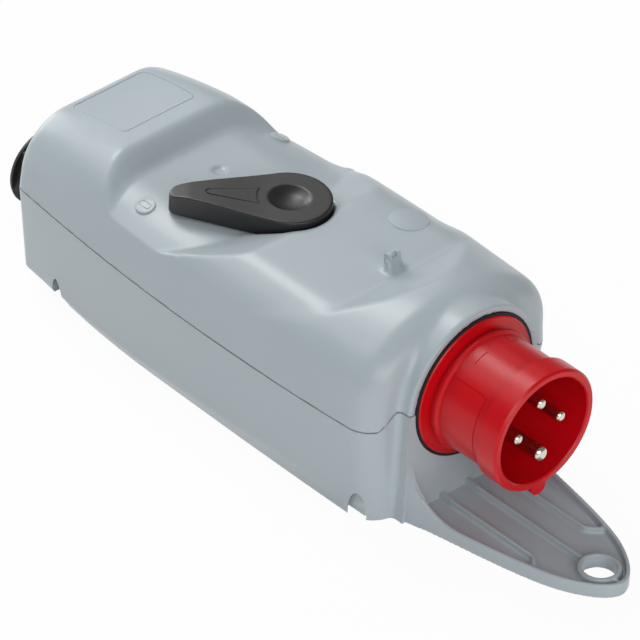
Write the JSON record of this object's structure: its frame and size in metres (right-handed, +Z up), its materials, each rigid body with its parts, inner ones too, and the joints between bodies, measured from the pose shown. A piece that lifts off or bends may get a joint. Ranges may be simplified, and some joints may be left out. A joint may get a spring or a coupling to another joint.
{
  "type": "switched industrial plug",
  "caption": "Industrial plug with a long grey housing, a rotary switch on top, round pins in a red shroud, a hanging tongue with an eye below it and a cable gland behind.",
  "frame": {"origin": "centre of the bounding box at the level of the flat underside", "axes": "+X the way the plug's pins point, along the housing; +Z up, through the switch; -Y is the side that faces the viewer in the picture"},
  "size_m": [0.3586, 0.1134, 0.0936],
  "materials": {
    "grey_housing": "satin moulded, fine grain",
    "red_plug": "semi-gloss moulded",
    "black_handle": "satin moulded",
    "black_gland": "satin moulded",
    "black_rubber": "matt",
    "plated_contact": "nickel plated, satin",
    "screw_steel": "zinc plated",
    "switch_body": "moulded, matt",
    "switch_lid": "moulded, matt",
    "copper_contact": "plain, bright"
  },
  "bodies": {
    "housing": {"upper_shell": "grey_housing", "lower_shell": "grey_housing", "shell_seal": "black_rubber", "shell_screws": "screw_steel", "plug_gasket": "black_rubber", "plug_shroud": "red_plug", "pin_carrier": "red_plug", "phase_pin_1": "plated_contact", "phase_pin_2": "plated_contact", "phase_pin_3": "plated_contact", "earth_pin": "plated_contact", "pin_terminal_screws": "screw_steel", "switch_base": "switch_body", "switch_cover": "switch_lid", "fixed_contacts": "copper_contact", "terminal_screws": "screw_steel", "switch_screws": "screw_steel", "shaft_seal": "black_rubber", "gland_body": "black_gland", "gland_nut": "black_gland", "gland_seal": "black_rubber", "gland_locknut": "black_gland", "cord_clamp": "black_gland", "clamp_screws": "screw_steel"},
    "switch_actuator": {"switch_handle": "black_handle", "switch_shaft": "screw_steel", "handle_screw": "screw_steel", "switch_rotor": "switch_lid", "contact_bridges": "copper_contact"}
  },
  "joints": [
    {"name": "handle_turn", "type": "hinge", "parent": "housing", "child": "switch_actuator", "pos_m": [-0.02645, 0, 0.0773], "axis": [0, 0, 1], "range_deg": [-90, 0]}
  ]
}
